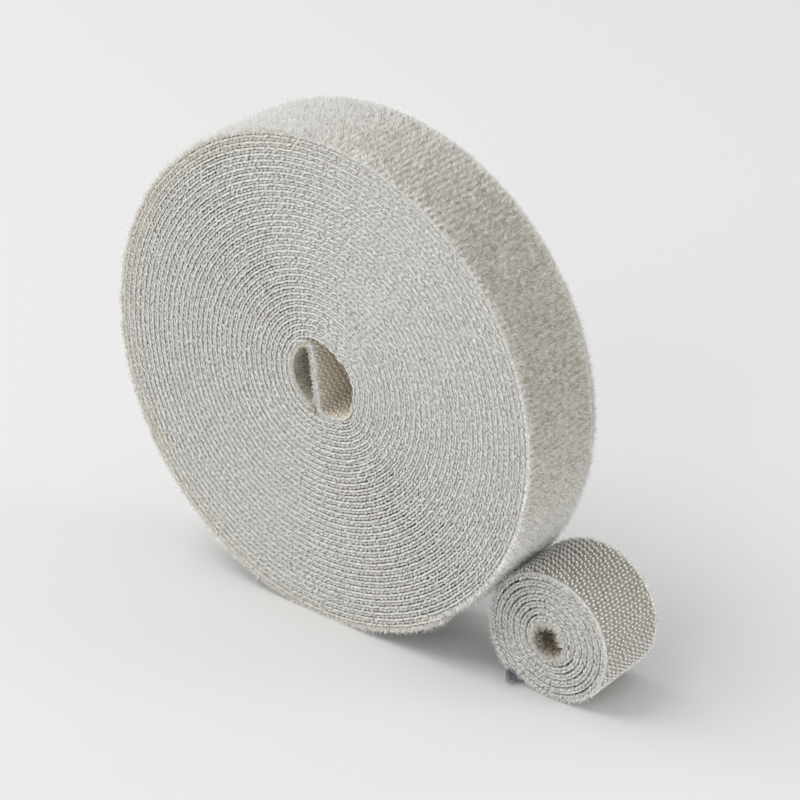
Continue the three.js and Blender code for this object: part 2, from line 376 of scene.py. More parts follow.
def web(name, coil, path, low, high, lump, wave, seed, materials, ground):
    """A web from offset low to offset high along the way out, with lumpy edges. Its ground, on the high side
    (1) or the low side (-1), takes the second material."""
    rng = np.random.default_rng(seed)
    n, thick = len(path.points), high - low
    bevel = BEVEL_SHARE * thick
    insets = ((low, FACE_INSET), (low + bevel, EDGE_INSET), (high - bevel, EDGE_INSET), (high, FACE_INSET))
    ring = [(offset, -1, inset) for offset, inset in insets]
    ring += [(offset, 1, inset) for offset, inset in reversed(insets)]
    drift = np.cumsum(rng.normal(0, DRIFT, n))
    rows = []
    for offset, side, inset in ring:
        phase = 2 * math.pi * path.length / wave + drift + (BACK_PHASE if side > 0 else 0)
        y = np.full(n, coil.half - inset)
        u = np.full(n, offset)
        if low < offset < high:
            outer = offset > (low + high) / 2
            swell = 0.5 + 0.5 * np.sin(phase + (OUTER_PHASE if outer else 0))
            y += lump * (swell - LUMP_MIDDLE) + rng.normal(0, LUMP_STRAY * lump, n)
            u += (1 if outer else -1) * SWELL_SHARE * thick * (swell - SWELL_MIDDLE)
        rows.append(coil.place(path.points + path.out * u[:, None], side * y))
    points = np.stack(rows, 1).reshape(-1, 3)
    keep_above(points, CLOTH_LEAST)
    corners = len(ring)
    i, k = np.meshgrid(np.arange(n - 1), np.arange(corners), indexing="ij")
    a, b = i * corners + k, i * corners + (k + 1) % corners
    quads = np.stack([a, b, b + corners, a + corners], -1).reshape(-1, 4)
    caps = np.stack([np.arange(corners)[::-1], (n - 1) * corners + np.arange(corners)])
    broad = len(insets) - 1 if ground > 0 else corners - 1
    slots = np.where(k == broad, 1, 0).ravel()
    return new_mesh(name, points, [quads, caps], materials, np.concatenate([slots, [0, 0]]))


# Knit edges

WORN_LIT_EDGE = 35 * MM
STITCH_COLUMNS = 6
STITCH_LEVELS = (-0.58, 0.58)
STITCH_PLUMP = 1.12
SMALL_STITCH = 0.86
STITCH_SIZES = (0.82, 1.15)
STITCH_STRAY = 0.08
STITCH_STRAY_ACROSS = 0.05 * MM
STITCH_STRAY_OUT = 0.04 * MM
SLANT_STRAY = 0.16


def wear(s, spans):
    """The share of worn stitches or fibres at lengths s, whose paler beige is wear and painted light. A span
    has two lengths and its full share.
    """
    share = np.zeros(len(s))
    for first, last, full in spans:
        share = np.maximum(share, full * np.clip(np.minimum(s - first, last - s) / WORN_LIT_EDGE, 0, 1))
    return share


def stitch():
    """The points of one stitch, and its triangles and quads."""
    unit = [(-1.0, 0.0, 0.0)]
    for level in STITCH_LEVELS:
        radius = math.sqrt(1 - level * level) * STITCH_PLUMP
        for k in range(STITCH_COLUMNS):
            angle = 2 * math.pi * k / STITCH_COLUMNS
            unit.append((level, radius * math.cos(angle), radius * math.sin(angle)))
    unit.append((1.0, 0.0, 0.0))
    k = np.arange(STITCH_COLUMNS)
    after, last = (k + 1) % STITCH_COLUMNS, len(unit) - 1
    low, high = 1, last - STITCH_COLUMNS
    near_end = np.stack([np.zeros(STITCH_COLUMNS, int), low + after, low + k], 1)
    far_end = np.stack([np.full(STITCH_COLUMNS, last), high + k, high + after], 1)
    quads = np.stack([low + k, low + after, high + after, high + k], 1)
    return np.array(unit), np.vstack([near_end, far_end]), quads


def edge_knit(name, coil, path, side, offset, repeat, size, slant, seed, material, worn_lit_spans=(), sunk=0.0):
    """A strand of slanted knit stitches along one edge of one web. Every second stitch is smaller, and some
    of those within the worn spans are worn, in a paler beige that is wear and painted light."""
    rng = np.random.default_rng(seed)
    n = max(2, int(path.length[-1] / repeat))
    s = (np.arange(n) + 0.5) * path.length[-1] / n + rng.normal(0, STITCH_STRAY, n) * repeat
    y = side * (coil.half - size[2] - sunk + rng.normal(0, STITCH_STRAY_ACROSS, n))
    base, out, way, across = frame_at(coil, path, s, y, offset + rng.normal(0, STITCH_STRAY_OUT, n))
    lean = math.radians(slant) + rng.normal(0, SLANT_STRAY, n)
    major = way * np.cos(lean)[:, None] - out * np.sin(lean)[:, None]
    minor = out * np.cos(lean)[:, None] + way * np.sin(lean)[:, None]
    scale = rng.uniform(*STITCH_SIZES, (n, 3)) * np.array(size)
    scale[::2] *= SMALL_STITCH
    unit, tris, quads = stitch()
    parts = unit[None] * scale[:, None]
    ways = (major, minor, across)
    points = base[:, None] + sum(parts[..., j, None] * ways[j][:, None] for j in range(3))
    points = points.reshape(-1, 3)
    keep_above(points, CLOTH_LEAST)
    first_point = (np.arange(n) * len(unit))[:, None, None]
    faces = [(tris[None] + first_point).reshape(-1, 3), (quads[None] + first_point).reshape(-1, 4)]
    worn = (rng.random(n) < wear(s, worn_lit_spans)).astype(int)
    slots = np.concatenate([np.repeat(worn, len(tris)), np.repeat(worn, len(quads))])
    materials = [material, WORN_LIT_KNIT] if worn.any() else [material]
    return new_mesh(name, points, faces, materials, slots)


# Fibres. A pair is the least and the most of a draw, unless a comment says otherwise.

NEEDLE_FACES = np.array([[0, 2, 1], [0, 1, 3], [1, 2, 3], [2, 0, 3]])
NEARLY_UPRIGHT = 0.9

TUFT_ALONG = 1.25 * MM
TUFT_ACROSS = 0.75 * MM
TUFT_STRAY = 0.13 * MM
TUFT_SPREAD = (0.13 * MM, 0.20 * MM)  # along and across
SPLAY = 1.5 / MM
SPLAYED_EDGE = 0.8 * MM
EDGE_SPLAY = 0.6
PILE_SWING = (0.24, 0.38)  # along and across
PILE_WIDTHS = (0.035 * MM, 0.08 * MM)
SHORT_WIDTH = 0.105 * MM
THINNING = 0.045 * MM
WIDTH_SHARES = (0.8, 1.2)

FUZZ_ROOT = 0.05 * MM
FUZZ_RISE = 0.8
FUZZ_SWING_OUT = 0.8
FUZZ_SWING_ALONG = 1.0
FUZZ_LENGTHS = (0.5, 1.15)
FUZZ_WIDTHS = (0.055 * MM, 0.095 * MM)

FRINGE_ROOTS = (0.05 * MM, 0.5 * MM)
FRINGE_OFFSETS = (0.1 * MM, 0.5 * MM)
FRINGE_LEANS = (0.1, 0.8)
FRINGE_SWING = 0.45
FRINGE_WIDTHS = (0.03 * MM, 0.055 * MM)

FRAY_DEEP = 0.4 * MM
FRAY_OFFSETS = (-0.4 * MM, 0.4 * MM)
FRAY_OUT_MEAN, FRAY_OUT_SWING = 0.25, 0.5
FRAY_ACROSS_MEAN, FRAY_ACROSS_SWING = -0.2, 0.6
FRAY_LENGTHS = (0.6 * MM, 1.8 * MM)
FRAY_WIDTHS = (0.06 * MM, 0.10 * MM)


def needles(name, bases, ways, lengths, widths, rng, shares=PILE_SHARES, materials=FIBRES, first_kind=None):
    """Straight fibres, each a closed solid of four faces that is as wide at its tip as at its root. Those
    marked in first_kind take the first material, and the others are shared out."""
    n = len(bases)
    ways = ways / np.linalg.norm(ways, axis=1)[:, None]
    helper = np.where(np.abs(ways[:, 2:3]) < NEARLY_UPRIGHT, [[0, 0, 1.0]], [[1.0, 0, 0]])
    a = np.cross(ways, helper)
    a /= np.linalg.norm(a, axis=1)[:, None]
    b = np.cross(ways, a)
    turn = rng.uniform(0, 2 * math.pi, n)[:, None]
    a, b = a * np.cos(turn) + b * np.sin(turn), b * np.cos(turn) - a * np.sin(turn)
    a, b = a * (widths / 2)[:, None], b * (widths / 2)[:, None]
    tips = bases + ways * lengths[:, None]
    points = np.stack([bases + a, bases - a, tips + b, tips - b], 1).reshape(-1, 3)
    keep_above(points, FIBRE_LEAST)
    first_point = 4 * np.arange(n)[:, None, None]
    faces = (first_point + NEEDLE_FACES).reshape(-1, 3)
    kinds = rng.choice(len(shares), n, p=shares)
    if first_kind is not None:
        kinds[first_kind] = 0
    return new_mesh(name, points, [faces], materials, np.repeat(kinds, len(NEEDLE_FACES)), smooth=False)


def at_lengths(value, s):
    """A number, or the values at lengths s of a pair of lengths and values."""
    return np.interp(s, *value) if isinstance(value, tuple) else value


def uneven(rng, count, least, spread, most):
    """Shares of a usual length, of which many are near the least and few are long."""
    return np.minimum(least + rng.exponential(spread, count), most)


def pile(name, coil, path, first, last, density, offset, stand, side, seed, pale=0.0, shares=PILE_SHARES,
         materials=FIBRES, lit_selvedge=2.2 * MM, fade=1.2 * MM, loose=1.0):
    """Loop pile on one face of a tape between two lengths, in tufts that stand in rows across it. stand is
    its height, and pale the share of fibres that take the first material. Within the selvedge width of each
    edge this share grows to all of them, over the width fade: paler selvedges, and painted light where the
    edge fibres catch the light. The tufts are spread loose times as far as usual."""
    rng = np.random.default_rng(seed)
    rows, columns = max(1, int((last - first) / TUFT_ALONG)), int(2 * coil.half / TUFT_ACROSS)
    each = max(1, round(density * TUFT_ALONG * TUFT_ACROSS / MM**2))
    row, column = (v.ravel() for v in np.meshgrid(np.arange(rows), np.arange(columns), indexing="ij"))
    root_s = first + (row + 0.5) * (last - first) / rows + rng.normal(0, TUFT_STRAY, len(row))
    staggered = (column + 0.25 + 0.5 * (row % 2)) * TUFT_ACROSS
    root_y = staggered + rng.normal(0, TUFT_STRAY, len(row)) - coil.half
    n = len(row) * each
    spread_s, spread_y = (loose * rng.normal(0, apart, n) for apart in TUFT_SPREAD)
    s = np.clip(np.repeat(root_s, each) + spread_s, first, last)
    y = np.clip(np.repeat(root_y, each) + spread_y, -coil.half, coil.half)
    base, out, way, across = frame_at(coil, path, s, y, offset)
    at_edge = np.clip((np.abs(y) - coil.half + SPLAYED_EDGE) / SPLAYED_EDGE, 0, 1) * np.sign(y)
    splay = SPLAY / loose
    swing_s, swing_y = (rng.normal(0, swing, n) for swing in PILE_SWING)
    ways = side * out + way * (spread_s * splay + swing_s)[:, None]
    ways += across * (spread_y * splay + swing_y + EDGE_SPLAY * at_edge)[:, None]
    growth = uneven(rng, n, least=0.6, spread=0.30, most=1.8)
    widths = np.clip(SHORT_WIDTH - THINNING * growth, *PILE_WIDTHS) * rng.uniform(*WIDTH_SHARES, n)
    lit_selvedge_share = (np.abs(y) - coil.half + lit_selvedge) / fade
    first_kind = rng.random(n) < np.maximum(lit_selvedge_share, at_lengths(pale, s))
    lengths = growth * at_lengths(stand, s)
    return needles(name, base, ways, lengths, widths, rng, shares, materials, first_kind)


def edge_fuzz(name, coil, path, first, last, side, per_mm, seed, stand=0.42 * MM, deep=0.25 * MM,
              reach=0.62 * MM, shares=EDGE_SHARES, materials=FIBRES):
    """Short fibres along one edge of a tape, from roots down to the given depth below the edge."""
    rng = np.random.default_rng(seed)
    n = int((last - first) / MM * per_mm)
    s = rng.uniform(first, last, n)
    y = side * (coil.half - rng.uniform(FUZZ_ROOT, deep, n))
    base, out, way, across = frame_at(coil, path, s, y, rng.uniform(-reach, reach, n))
    ways = across * (FUZZ_RISE * side) + out * rng.normal(0, FUZZ_SWING_OUT, n)[:, None]
    ways = ways + way * rng.normal(0, FUZZ_SWING_ALONG, n)[:, None]
    lengths = rng.uniform(*FUZZ_LENGTHS, n) * stand
    widths = rng.uniform(*FUZZ_WIDTHS, n)
    return needles(name, base, ways, lengths, widths, rng, shares, materials)


def rim_fringe(name, coil, path, first, last, per_mm, seed, shares, long=1.0, toward=1, edges=(-1, 1),
               worn=()):
    """Long fibres that lean over the edges of a turn, away from the axis (1) or toward it (-1). With worn
    spans, only the worn share of them is left."""
    rng = np.random.default_rng(seed)
    s = rng.uniform(first, last, int((last - first) / MM * per_mm))
    if worn:
        s = s[rng.random(len(s)) < wear(s, worn)]
    n = len(s)
    side = np.where(np.arange(n) % 2 == 0, edges[0], edges[-1]).astype(float)
    offset = toward * rng.uniform(*FRINGE_OFFSETS, n)
    y = side * (coil.half - rng.uniform(*FRINGE_ROOTS, n))
    base, out, way, across = frame_at(coil, path, s, y, offset)
    ways = across * (side * rng.uniform(*FRINGE_LEANS, n))[:, None] + toward * out
    ways = ways + way * rng.normal(0, FRINGE_SWING, n)[:, None]
    lengths = long * uneven(rng, n, least=0.4, spread=0.42, most=1.9) * MM
    widths = rng.uniform(*FRINGE_WIDTHS, n)
    return needles(name, base, ways, lengths, widths, rng, shares)


def frayed_cut(name, coil, path, count, first, last, seed, shares=PILE_SHARES, materials=FIBRES, long=1.0,
               inner=False):
    """Loose ends of thread on a tape's outer or inner cut end, from one place across it to another."""
    rng = np.random.default_rng(seed)
    s = rng.uniform(0, FRAY_DEEP, count)
    s = s if inner else path.length[-1] - s
    y = rng.uniform(first, last, count)
    base, out, way, across = frame_at(coil, path, s, y, rng.uniform(*FRAY_OFFSETS, count))
    ways = -way if inner else way
    ways = ways + out * rng.normal(FRAY_OUT_MEAN, FRAY_OUT_SWING, count)[:, None]
    ways = ways + across * rng.normal(FRAY_ACROSS_MEAN, FRAY_ACROSS_SWING, count)[:, None]
    lengths = long * rng.uniform(*FRAY_LENGTHS, count)
    widths = rng.uniform(*FRAY_WIDTHS, count)
    return needles(name, base, ways, lengths, widths, rng, shares, materials)


# Hooks

HOOK_LINE = np.array([(0, -0.1), (0.0, 0.22), (0.02, 0.34), (0.06, 0.41), (0.11, 0.39), (0.13, 0.30)]) * MM
HOOK_SIDES = 6
HOOK_REPEAT = 2.55 * MM
HOOK_PAIR = 0.66 * MM
HOOK_ROW = 0.63 * MM
HOOK_INSET = 0.4 * MM
HOOK_STRAY_ALONG = 0.05 * MM
HOOK_STRAY_ACROSS = 0.04 * MM
HOOK_SWING = 0.2
HOOK_SIZES = (0.9, 1.08)


def hook_places(coil, first, last):
    """Lengths along a tape, places across it and the way each hook bends. They stand in pairs, each row half
    a repeat along from the one beside it."""
    rows = int((2 * (coil.half - HOOK_INSET)) / HOOK_ROW)
    s, y, flip = [], [], []
    for row in range(rows):
        starts = np.arange(first + (HOOK_REPEAT / 2 if row % 2 else 0), last, HOOK_REPEAT)
        for k in range(2):
            at = starts + k * HOOK_PAIR
            at = at[at < last]
            s.append(at)
            y.append(np.full(len(at), (row - (rows - 1) / 2) * HOOK_ROW))
            flip.append(np.full(len(at), 1.0 if k else -1.0))
    return np.concatenate(s), np.concatenate(y), np.concatenate(flip)


def hooks(name, coil, path, first, last, offset, side, seed, tall=1.0, radius=0.17 * MM, material=HOOKS):
    """Hooks on one face of a tape between two lengths, that bend over across it. tall is their share of the
    full height."""
    rng = np.random.default_rng(seed)
    s, y, flip = hook_places(coil, first, last)
    n = len(s)
    s = s + rng.normal(0, HOOK_STRAY_ALONG, n)
    y = y + rng.normal(0, HOOK_STRAY_ACROSS, n)
    base, out, way, across = frame_at(coil, path, np.clip(s, first, last), y, offset)
    up = side * out
    ahead = across * flip[:, None] + way * rng.normal(0, HOOK_SWING, n)[:, None]
    ahead /= np.linalg.norm(ahead, axis=1)[:, None]
    size = rng.uniform(*HOOK_SIZES, n)[:, None]
    beside = np.cross(up, ahead)
    rings = len(HOOK_LINE)
    points = np.empty((n, rings, HOOK_SIDES, 3))
    slope = np.gradient(HOOK_LINE, axis=0)
    slope /= np.linalg.norm(slope, axis=1)[:, None]
    for r in range(rings):
        centre = base + (ahead * HOOK_LINE[r, 0] + up * (tall * HOOK_LINE[r, 1])) * size
        normal = ahead * slope[r, 1] - up * slope[r, 0]
        for k in range(HOOK_SIDES):
            angle = 2 * math.pi * k / HOOK_SIDES
            points[:, r, k] = centre + (normal * math.cos(angle) + beside * math.sin(angle)) * radius
    points = points.reshape(-1, 3)
    keep_above(points, FIBRE_LEAST)
    first_point = (np.arange(n) * rings * HOOK_SIDES)[:, None, None]
    r, k = np.meshgrid(np.arange(rings - 1), np.arange(HOOK_SIDES), indexing="ij")
    a, b = r * HOOK_SIDES + k, r * HOOK_SIDES + (k + 1) % HOOK_SIDES
    quads = np.stack([a, b, b + HOOK_SIDES, a + HOOK_SIDES], -1).reshape(1, -1, 4) + first_point
    ends = np.stack([np.arange(HOOK_SIDES)[::-1], (rings - 1) * HOOK_SIDES + np.arange(HOOK_SIDES)])
    ends = ends[None] + first_point
    return new_mesh(name, points, [quads.reshape(-1, 4), ends.reshape(-1, HOOK_SIDES)], [material])


# Bodies and joints

BEND_REACH = 1.3 * MM


def hinge_span(joint, coil):
    """Two points either side of a joint's bend line, along the tape of a coil."""
    here = Vector(JOINTS[joint]["pos_m"])
    out = here - Vector(coil.axis)
    way = Vector((-out.z, 0, out.x)).normalized()
    return here - way * BEND_REACH, here + way * BEND_REACH


def follow(obj, bodies, span=None, nodes=()):
    """Ties a piece to its first body, or with a bend's span leaves it untied, set in place in the frame, and
    hides the CAD nodes it replaces.
    """
    if span:
        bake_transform(obj)
    else:
        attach(obj, bodies[0])
    if nodes:
        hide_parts(*nodes)


# The roll

ROLL_LOOP_LOW, ROLL_LOOP_HIGH = 0.05 * MM, 0.48 * MM
ROLL_HOOK_LOW, ROLL_HOOK_HIGH = -0.48 * MM, -0.05 * MM
ROLL_LUMP = 0.12 * MM
ROLL_PILE_ROOT = 0.42 * MM
ROLL_HOOK_ROOT = -0.46 * MM
PILE_DENSITY = 15
BEAD = 2.2 * MM
LOOP_STITCHES, HOOK_STITCHES = 2, 1.7  # to a bead
LOOP_STITCH = (0.52 * MM, 0.27 * MM, 0.16 * MM)
HOOK_STITCH = (0.95 * MM, 0.27 * MM, 0.20 * MM)
ROLL_STEP = 0.8 * MM
FOLD_STEP = 0.25 * MM
NEAR_DEG, TIP_DEG = 282.0, 290.6

# The edges of the outer turns are worn between these angles, the outermost turn most and on to its end.
# There the stitches and fringes are paler and beige: wear, and painted light on the upper and left side that
# the key lamp lights
WORN_LIT_FROM, WORN_LIT_TO = 75, 255
WORN_LIT_FULL = (1.0, 0.8, 0.5)

# Along the outermost turn: angles, shares of pale fibres and heights of the pile. The pale shares are
# painted light and shade: all pale on the top and left, which the key lamp lights, few on the right and
# upper right, which lie in shade, and all pale again low on the right, which light bounced from the floor
# reaches
NAP_DEG = np.array((-56, -20, 0, 15, 45, 75, 95, 282))
NAP_PAINTED_LIGHT = (1.0, 1.0, 0.4, 0.05, 0.0, 0.6, 1.0, 1.0)
NAP_STAND = tuple(stand * MM for stand in (1.15, 1.0, 0.85, 0.85, 0.85, 1.1, 1.2, 0.6))
UNCOVERED = 1.01

fold = folded_end(FOLD_STEP)
near_turn, tip_turn = ROLL.turn(NEAR_DEG), ROLL.turn(TIP_DEG)
winding = fold.joined(ROLL.spiral(0, near_turn, ROLL_STEP))
near = ROLL.spiral(near_turn, tip_turn, ROLL_STEP)
tip = ROLL.spiral(tip_turn, ROLL.loops, ROLL_STEP)
ROLL_PARTS = [
    ("roll_winding", winding, ["roll"], None),
    ("roll_end_near", near, ["roll", "roll_end_near"], hinge_span("roll_end_peel", ROLL)),
    ("roll_end_tip", tip, ["roll_end_near", "roll_end_tip"], hinge_span("roll_tip_peel", ROLL)),
]
for number, (name, path, bodies, span) in enumerate(ROLL_PARTS):
    total = path.length[-1]
    wound = path is winding
    free, pile_pieces = 0, 1
    stand, pale = NAP_STAND[-1], NAP_PAINTED_LIGHT[-1]
    worn_lit_spans = [(-WORN_LIT_EDGE, total + WORN_LIT_EDGE, WORN_LIT_FULL[0])]
    if wound:
        free, pile_pieces = np.interp(ROLL.loops - UNCOVERED, path.turns, path.length), 2
        places = length_at(ROLL, path, NAP_DEG)
        stand, pale = (places, NAP_STAND), (places, NAP_PAINTED_LIGHT)
        worn_lit_spans = [(length_at(ROLL, path, WORN_LIT_FROM), total + WORN_LIT_EDGE, WORN_LIT_FULL[0])]
        for k in (1, 2):
            ends = [length_at(ROLL, path, deg, k) for deg in (WORN_LIT_FROM, WORN_LIT_TO)]
            worn_lit_spans.append((*ends, WORN_LIT_FULL[k]))

    loop = web(
        name + "_loop", ROLL, path, ROLL_LOOP_LOW, ROLL_LOOP_HIGH, ROLL_LUMP, wave=BEAD,
        seed=11 + number, materials=[LOOP_WEB, PILE_GROUND_SHADE], ground=1,
    )
    follow(loop, bodies, span, [name + "_loop_web"])
    hook = web(
        name + "_hook", ROLL, path, ROLL_HOOK_LOW, ROLL_HOOK_HIGH, ROLL_LUMP, wave=HOOK_REPEAT,
        seed=21 + number, materials=[HOOK_WEB, ROLL_GROUND_WARM_LIGHT], ground=-1,
    )
    follow(hook, bodies, span, [name + "_hook_web"])

    for side, word in EDGES:
        knit = edge_knit(
            f"{name}_loop_knit_{word}", ROLL, path, side, offset=0.26 * MM, repeat=BEAD / LOOP_STITCHES,
            size=LOOP_STITCH, slant=20, seed=101 + 2 * number + side, material=LOOP_KNIT,
            worn_lit_spans=worn_lit_spans, sunk=0.12 * MM,
        )
        follow(knit, bodies, span)
        knit = edge_knit(
            f"{name}_hook_knit_{word}", ROLL, path, side, offset=-0.34 * MM, repeat=BEAD / HOOK_STITCHES,
            size=HOOK_STITCH, slant=3, seed=131 + 2 * number + side, material=HOOK_KNIT,
            worn_lit_spans=worn_lit_spans,
        )
        follow(knit, bodies, span)

    stops = np.linspace(free, total, pile_pieces + 1)
    for k, (first, last) in enumerate(zip(stops, stops[1:])):
        fur = pile(
            f"{name}_pile_{k + 1}", ROLL, path, first, last, PILE_DENSITY, ROLL_PILE_ROOT, stand, side=1,
            seed=31 + number + 10 * k, pale=pale,
        )
        follow(fur, bodies, span)
    for side, word in EDGES:
        fuzz = edge_fuzz(
            f"{name}_fuzz_{word}", ROLL, path, 0, total, side, per_mm=8, seed=41 + 2 * number + side,
        )
        follow(fuzz, bodies, span)
    fringe = rim_fringe(
        name + "_fringe", ROLL, path, free, total, per_mm=50, seed=121 + number, shares=LIT_RIM_SHARES, long=0.8,
    )
    follow(fringe, bodies, span)
    # Worn fringes of pale and cream threads: wear, and painted light on the lit upper and left side.
    for k, worn in enumerate(worn_lit_spans):
        fringe = rim_fringe(
            f"{name}_fringe_worn_lit_{k + 1}", ROLL, path, max(worn[0], 0), min(worn[1], total), per_mm=70,
            seed=151 + number + 3 * k, shares=WORN_LIT_RIM_SHARES, long=0.65, worn=[worn],
        )
        follow(fringe, bodies, span)
    if wound:
        # A dense pale fringe on the back edge: painted light, a halo of light through the fringe fibres.
        halo = rim_fringe(
            name + "_fringe_back", ROLL, path, free, total, per_mm=130, seed=129, shares=LIT_RIM_SHARES,
            long=0.62, edges=(1,),
        )
        follow(halo, bodies, span)
    else:
        teeth = hooks(
            name + "_hooks", ROLL, path, 0, total, ROLL_HOOK_ROOT, side=-1, seed=171 + number, tall=0.3,
        )
        follow(teeth, bodies, span)

# What the roll's free end covers, lint and the cut
under = [length_at(ROLL, winding, deg, 1) for deg in (NEAR_DEG, ROLL.tip)]
covered = pile(
    "roll_pile_under_end", ROLL, winding, *under, PILE_DENSITY, ROLL_PILE_ROOT, stand=0.2 * MM, side=1,
    seed=174,
)
follow(covered, ["roll"])
lint = edge_fuzz(
    "roll_lint", ROLL, winding, 0, winding.length[-1], side=-1, per_mm=0.004, seed=161, deep=0.1 * MM,
    shares=LINT_SHARES, materials=LINT_AND_SHADE_THREADS,
)
follow(lint, ["roll"])
fray = frayed_cut("roll_end_fray", ROLL, tip, count=140, first=-ROLL.half, last=ROLL.half, seed=162)
follow(fray, ["roll_end_tip"])

# The roll's eye
EYE_PILE_TO, EYE_HOOKS_FROM = 0.9, 0.5  # shares of the fold's length
EYE_FRINGE_PAST = 4 * MM
fold_length = fold.length[-1]
first_loop = fold_length + 2 * math.pi * ROLL.inner
# Cream threads near both mouths of the eye, olive and umber deeper in: painted light at the mouths, painted
# shade within.
inner_pile = pile(
    "roll_eye_pile", ROLL, winding, 0, fold_length * EYE_PILE_TO, density=24, offset=ROLL_PILE_ROOT,
    stand=0.5 * MM, side=1, seed=51, shares=EYE_SHADE_SHARES, materials=EYE_SHADE_FIBRES, lit_selvedge=7.5 * MM,
    fade=6 * MM, loose=2.5,
)
follow(inner_pile, ["roll"])
for side, word in EDGES:
    fuzz = edge_fuzz(
        f"roll_eye_fuzz_{word}", ROLL, winding, 0, fold_length, side, per_mm=40, seed=55 + side,
        stand=0.5 * MM, deep=0.6 * MM, reach=0.42 * MM, shares=LIT_RIM_SHARES,
    )
    follow(fuzz, ["roll"])
for toward, word, long, shares in ((-1, "hook", 0.8, LIT_RIM_SHARES), (1, "loop", 0.35, WORN_LIT_RIM_SHARES)):
    lip = rim_fringe(
        f"roll_eye_fringe_{word}", ROLL, winding, 0, fold_length + EYE_FRINGE_PAST, per_mm=50,
        seed=58 + toward, shares=shares, long=long, toward=toward,
    )
    follow(lip, ["roll"])
fray = frayed_cut(
    "roll_eye_fray", ROLL, winding, count=900, first=-ROLL.half, last=ROLL.half, seed=60, shares=LIT_RIM_SHARES,
    inner=True,
)
follow(fray, ["roll"])
# The eye's hooks take the cream filament: painted warm bounced light.
crescent = hooks(
    "roll_eye_hooks", ROLL, winding, fold_length * EYE_HOOKS_FROM, first_loop, ROLL_HOOK_ROOT, side=-1,
    seed=52, tall=0.6, radius=0.235 * MM, material=EYE_HOOKS_WARM_LIGHT,
)
follow(crescent, ["roll"])


# The short coil

COIL_HOOK_LOW, COIL_HOOK_HIGH = 0.06 * MM, 0.50 * MM
COIL_LOOP_LOW, COIL_LOOP_HIGH = -0.54 * MM, -0.06 * MM
COIL_HOOK_ROOT = 0.48 * MM
COIL_PILE_ROOT = -0.5 * MM
COIL_LOOP_STITCH = (0.66 * MM, 0.31 * MM, 0.26 * MM)
COIL_HOOK_STITCH = (0.72 * MM, 0.24 * MM, 0.26 * MM)
COIL_STEP = 0.3125 * MM
COIL_END_DEG = 169.5
COIL_EYE_RADIUS = 4.2 * MM
COIL_EYE_LENGTH = 2 * math.pi * COIL_EYE_RADIUS
SHADE_TUFT_PAST, SHADE_TUFT_WITHIN = 0.6 * MM, 1.4 * MM  # from the front edge
COIL_SPAN = hinge_span("coil_end_peel", COIL)

end_turn = COIL.turn(COIL_END_DEG)
coil_winding = COIL.spiral(0, end_turn, COIL_STEP)
coil_end = COIL.spiral(end_turn, COIL.loops, COIL_STEP)
COIL_PARTS = [
    ("coil_winding", coil_winding, ["coil"], None),
    ("coil_end", coil_end, ["coil", "coil_end"], COIL_SPAN),
]
for number, (name, path, bodies, span) in enumerate(COIL_PARTS):
    total = path.length[-1]
    wound = path is coil_winding
    free = np.interp(COIL.loops - 1, path.turns, path.length) if wound else 0
    hook = web(
        name + "_hook", COIL, path, COIL_HOOK_LOW, COIL_HOOK_HIGH, lump=0.16 * MM, wave=1.25 * MM,
        seed=61 + number, materials=[HOOK_WEB, COIL_GROUND_SHADE], ground=1,
    )
    follow(hook, bodies, span, [name + "_hook_web"])
    loop = web(
        name + "_loop", COIL, path, COIL_LOOP_LOW, COIL_LOOP_HIGH, lump=0.20 * MM, wave=2.1 * MM,
        seed=71 + number, materials=[LOOP_WEB, PILE_GROUND_SHADE], ground=-1,
    )
    follow(loop, bodies, span, [name + "_loop_web"])

    for side, word in EDGES:
        knit = edge_knit(
            f"{name}_loop_knit_{word}", COIL, path, side, offset=-0.30 * MM, repeat=1.0 * MM,
            size=COIL_LOOP_STITCH, slant=22, seed=111 + 2 * number + side, material=LOOP_KNIT,
        )
        follow(knit, bodies, span)
        knit = edge_knit(
            f"{name}_hook_knit_{word}", COIL, path, side, offset=0.26 * MM, repeat=1.15 * MM,
            size=COIL_HOOK_STITCH, slant=6, seed=141 + 2 * number + side, material=HOOK_KNIT,
        )
        follow(knit, bodies, span)
    teeth = hooks(name + "_hooks", COIL, path, free, total, COIL_HOOK_ROOT, side=1, seed=81 + number)
    follow(teeth, bodies, span)
    for side, word in EDGES:
        fuzz = edge_fuzz(
            f"{name}_fuzz_{word}", COIL, path, 0, total, side, per_mm=24, seed=91 + 2 * number + side,
            stand=0.55 * MM, deep=0.5 * MM,
        )
        follow(fuzz, bodies, span)
    fringe = rim_fringe(
        name + "_fringe", COIL, path, free, total, per_mm=60, seed=181 + number, shares=LIT_RIM_SHARES,
        long=0.55,
    )
    follow(fringe, bodies, span)

# The short coil's eye
lip = rim_fringe(
    "coil_eye_fringe", COIL, coil_winding, 0, COIL_EYE_LENGTH, per_mm=110, seed=183, shares=LIT_RIM_SHARES,
    long=1.1, toward=-1,
)
follow(lip, ["coil"])
# Olive and umber threads in the short coil's eye: painted shade.
eye = pile(
    "coil_eye_pile", COIL, coil_winding, 0, COIL_EYE_LENGTH, density=22, offset=COIL_PILE_ROOT,
    stand=1.15 * MM, side=-1, seed=95, shares=COIL_EYE_SHADE_SHARES, materials=EYE_SHADE_FIBRES,
)
follow(eye, ["coil"])
fray = frayed_cut(
    "coil_eye_fray", COIL, coil_winding, count=900, first=-COIL.half, last=COIL.half, seed=184,
    shares=LIT_RIM_SHARES, long=1.2, inner=True,
)
follow(fray, ["coil"])

